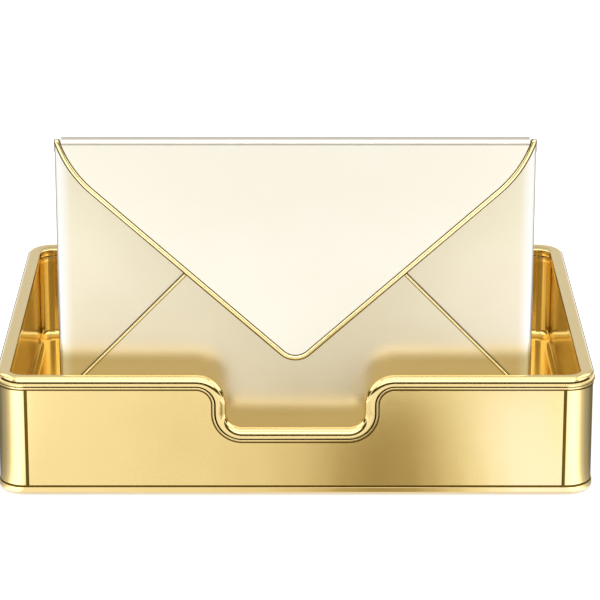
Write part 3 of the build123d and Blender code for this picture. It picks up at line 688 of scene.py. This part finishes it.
def card(name, corners, level, tint=(1, 1, 1), stops=None, around=None, warm=0.0, faces=None):
    """Flat reflector that only shiny surfaces see. Its brightness is level, times the
    value at the stops, if any: these lie across x in metres, or at angles in degrees
    from the front, seen from the point around. warm is the share of the warm tint."""
    mesh = bpy.data.meshes.new(name)
    mesh.from_pydata(corners, [], faces or [tuple(range(len(corners)))])
    thing = bpy.data.objects.new(name, mesh)
    bpy.context.collection.objects.link(thing)
    thing.visible_camera = thing.visible_diffuse = thing.visible_shadow = False
    thing.visible_transmission = thing.visible_volume_scatter = False
    material = bpy.data.materials.new(name)
    material.use_nodes = True
    nodes, links = material.node_tree.nodes, material.node_tree.links
    nodes.clear()
    glow, outlet = nodes.new("ShaderNodeEmission"), nodes.new("ShaderNodeOutputMaterial")
    glow.inputs["Color"].default_value = (*tint, 1)
    glow.inputs["Strength"].default_value = level
    links.new(glow.outputs[0], outlet.inputs[0])
    if stops:
        place, split = nodes.new("ShaderNodeTexCoord"), nodes.new("ShaderNodeSeparateXYZ")
        centre, share, ramp = (nodes.new("ShaderNodeVectorMath"), nodes.new("ShaderNodeMapRange"),
                               nodes.new("ShaderNodeValToRGB"))
        centre.inputs[1].default_value = (-around[0], -around[1], 0) if around else (0, 0, 0)
        links.new(place.outputs["Object"], centre.inputs[0])
        links.new(centre.outputs[0], split.inputs[0])
        low, high, source = -PANEL_SPAN, PANEL_SPAN, split.outputs["X"]
        if around:
            low, high = 0.0, 180.0
            away, turn, front, degrees = (nodes.new("ShaderNodeMath") for _ in range(4))
            away.operation, front.operation, turn.operation = "ABSOLUTE", "MULTIPLY", "ARCTAN2"
            degrees.operation, front.inputs[1].default_value = "DEGREES", -1
            links.new(split.outputs["X"], away.inputs[0])
            links.new(split.outputs["Y"], front.inputs[0])
            links.new(away.outputs[0], turn.inputs[0])
            links.new(front.outputs[0], turn.inputs[1])
            links.new(turn.outputs[0], degrees.inputs[0])
            source = degrees.outputs[0]
        share.inputs["From Min"].default_value = low
        share.inputs["From Max"].default_value = high
        ramp.color_ramp.interpolation = "EASE"
        marks = ramp.color_ramp.elements
        while len(marks) < len(stops):
            marks.new(0.5)
        peak = max(value for _, value in stops)
        for mark, (at, value) in zip(marks, stops):
            mark.position = (at - low) / (high - low)
            below, above = max(0.0, 1 - value) * warm, max(0.0, value - 1) * warm
            blue = 1 - WARM_BLUE * below + COOL_BLUE * above
            cast = (1 - COOL_RED * above, 1 - WARM_GREEN * below, blue)
            mark.color = (*np.multiply(cast, value / peak), 1)
        glow.inputs["Strength"].default_value = level * peak
        links.new(source, share.inputs["Value"])
        links.new(share.outputs[0], ramp.inputs["Fac"])
        colour = ramp.outputs["Color"]
        if around:
            length, spread, blend = (nodes.new("ShaderNodeVectorMath"), nodes.new("ShaderNodeMapRange"),
                                     nodes.new("ShaderNodeMix"))
            length.operation, blend.data_type = "LENGTH", "RGBA"
            spread.interpolation_type = "SMOOTHSTEP"
            spread.inputs["From Min"].default_value, spread.inputs["From Max"].default_value = FADE
            blend.inputs["B"].default_value = (*np.full(3, FLOOR_LEVEL / peak), 1)
            links.new(centre.outputs[0], length.inputs[0])
            links.new(length.outputs["Value"], spread.inputs["Value"])
            links.new(spread.outputs[0], blend.inputs["Factor"])
            links.new(colour, blend.inputs["A"])
            colour = blend.outputs["Result"]
        links.new(colour, glow.inputs["Color"])
    material.cycles.emission_sampling = "NONE"
    mesh.materials.append(material)


def oblong(half_width, first, last):
    """Corners of a rectangle centred on x = 0, between two places in (y, z)."""
    return [(-half_width, *first), (half_width, *first), (half_width, *last), (-half_width, *last)]


# The flag is a dark band along the horizon, bent round the front and the sides. It draws
# the thin dark line under the rim's brow.
FLAG_RADIUS, FLAG_FOOT, FLAG_HEIGHT, FLAG_TURN, FLAG_PARTS = 2.4, -0.1, 0.70, 100, 20
flag_turn = np.radians(np.linspace(-FLAG_TURN, FLAG_TURN, FLAG_PARTS + 1))
flag_foot = np.column_stack([FLAG_RADIUS * np.sin(flag_turn), -FLAG_RADIUS * np.cos(flag_turn),
                             np.full(FLAG_PARTS + 1, FLAG_FOOT)])
flag_faces = [(i, i + 1, i + FLAG_PARTS + 2, i + FLAG_PARTS + 1) for i in range(FLAG_PARTS)]
card("Front softbox", oblong(1.5, (-2.3, 0.74), (-1.2, 2.4)), 2.5)
card("Upper softbox", oblong(1.5, (-1.2, 2.4), (-0.2, 2.9)), 1.25)
card("Horizon flag", np.concatenate([flag_foot, flag_foot + (0, 0, FLAG_HEIGHT)]).tolist(), 0.07,
     (1, 0.82, 0.16), faces=flag_faces)

# Behind the front wall a gold card in the outline of that wall and its scoop stands for
# the polished wall that the envelope reflects.
GAP_Y, GAP_OUTLINE = -0.1009, ((0.130, 0.012), (0.130, 0.0611), (0.046, 0.0611), (0.034, 0.048),
                               (0.034, 0.0344))
gap_corners = list(GAP_OUTLINE) + [(-x, z) for x, z in GAP_OUTLINE[::-1]]
card("Gap card", [(x, GAP_Y, z) for x, z in gap_corners], 1.0, (0.74, 0.57, 0.25))

# The floor in front of the tray, as the panel reflects it: pale at the left, with a dark
# warm band right of the middle. Farther out, and where the scoop's edge sees it, the
# floor is plain.
CARD_Z, SCOOP_CARD_Z, PANEL_HALF, NEAR_Y, STRIP_Y, FAR_Y = 0.0006, 0.0009, 0.134, -0.109, -0.262, -0.75
card(
    "Floor card",
    oblong(PANEL_HALF, (STRIP_Y, CARD_Z), (NEAR_Y, CARD_Z)),
    1.2,
    stops=[(-0.155, 1.0), (-0.126, 1.0), (-0.051, 0.90), (-0.021, 0.84), (0.0, 0.73), (0.013, 0.62),
           (0.024, 0.48), (0.040, 0.39), (0.056, 0.43), (0.0665, 0.57), (0.077, 0.74), (0.088, 0.93),
           (0.0985, 1.1), (0.109, 1.22), (0.155, 1.22)],
    warm=1.0,
)
card("Far floor card", oblong(PANEL_HALF, (FAR_Y, CARD_Z), (STRIP_Y, CARD_Z)), 1.2)
card("Scoop floor card", oblong(0.036, (STRIP_Y, SCOOP_CARD_Z), (-0.215, SCOOP_CARD_Z)), 1.2)

# Round each corner the floor goes from white at the front to dark at the side, which
# gives the corner its bright strip. Beyond, a softbox lights the side wall.
CORNER_OUTLINE = ((0.1342, -0.40), (0.44, -0.40), (0.44, 0.21), (0.1448, 0.21), (0.1448, -0.0945),
                  (0.1400, -0.1045), (0.1342, NEAR_Y))
CORNER_STOPS = ((0, 1.2), (5, 1.3), (11, 2.1), (22, 2.5), (42, 2.5), (50, 2.0), (59, 1.3), (70, 0.8),
                (86, 0.52), (99, 0.42), (114, 0.28), (130, 0.18), (146, 0.18), (170, 1.1))
SIDE_OUTLINE = ((1.8, -1.4, 0.6), (1.8, 1.0, 0.6), (1.4, 1.0, 1.9), (1.4, -1.4, 1.9))
for side in (-1, 1):
    card(f"Side softbox {side}", [(side * x, y, z) for x, y, z in SIDE_OUTLINE], 2.0)
    card(f"Corner card {side}", [(side * x, y, CARD_Z) for x, y in CORNER_OUTLINE], 1.0,
         around=(side * CORNER_X / 1000, -CORNER_Y / 1000), stops=CORNER_STOPS)

PITCH, DISTANCE, AIM_Z, LENS, SHIFT = np.radians(18.2), 1.612, 0.0641, 189.3, 0.0077
camera_data = bpy.data.cameras.new("Camera")
camera_data.lens, camera_data.shift_x = LENS, SHIFT
camera = bpy.data.objects.new("Camera", camera_data)
bpy.context.collection.objects.link(camera)
camera.location = (0, -DISTANCE * np.cos(PITCH), AIM_Z + DISTANCE * np.sin(PITCH))
camera.rotation_euler = (np.pi / 2 - PITCH, 0, 0)
bpy.context.scene.camera = camera
bpy.context.scene.view_settings.view_transform = "Standard"
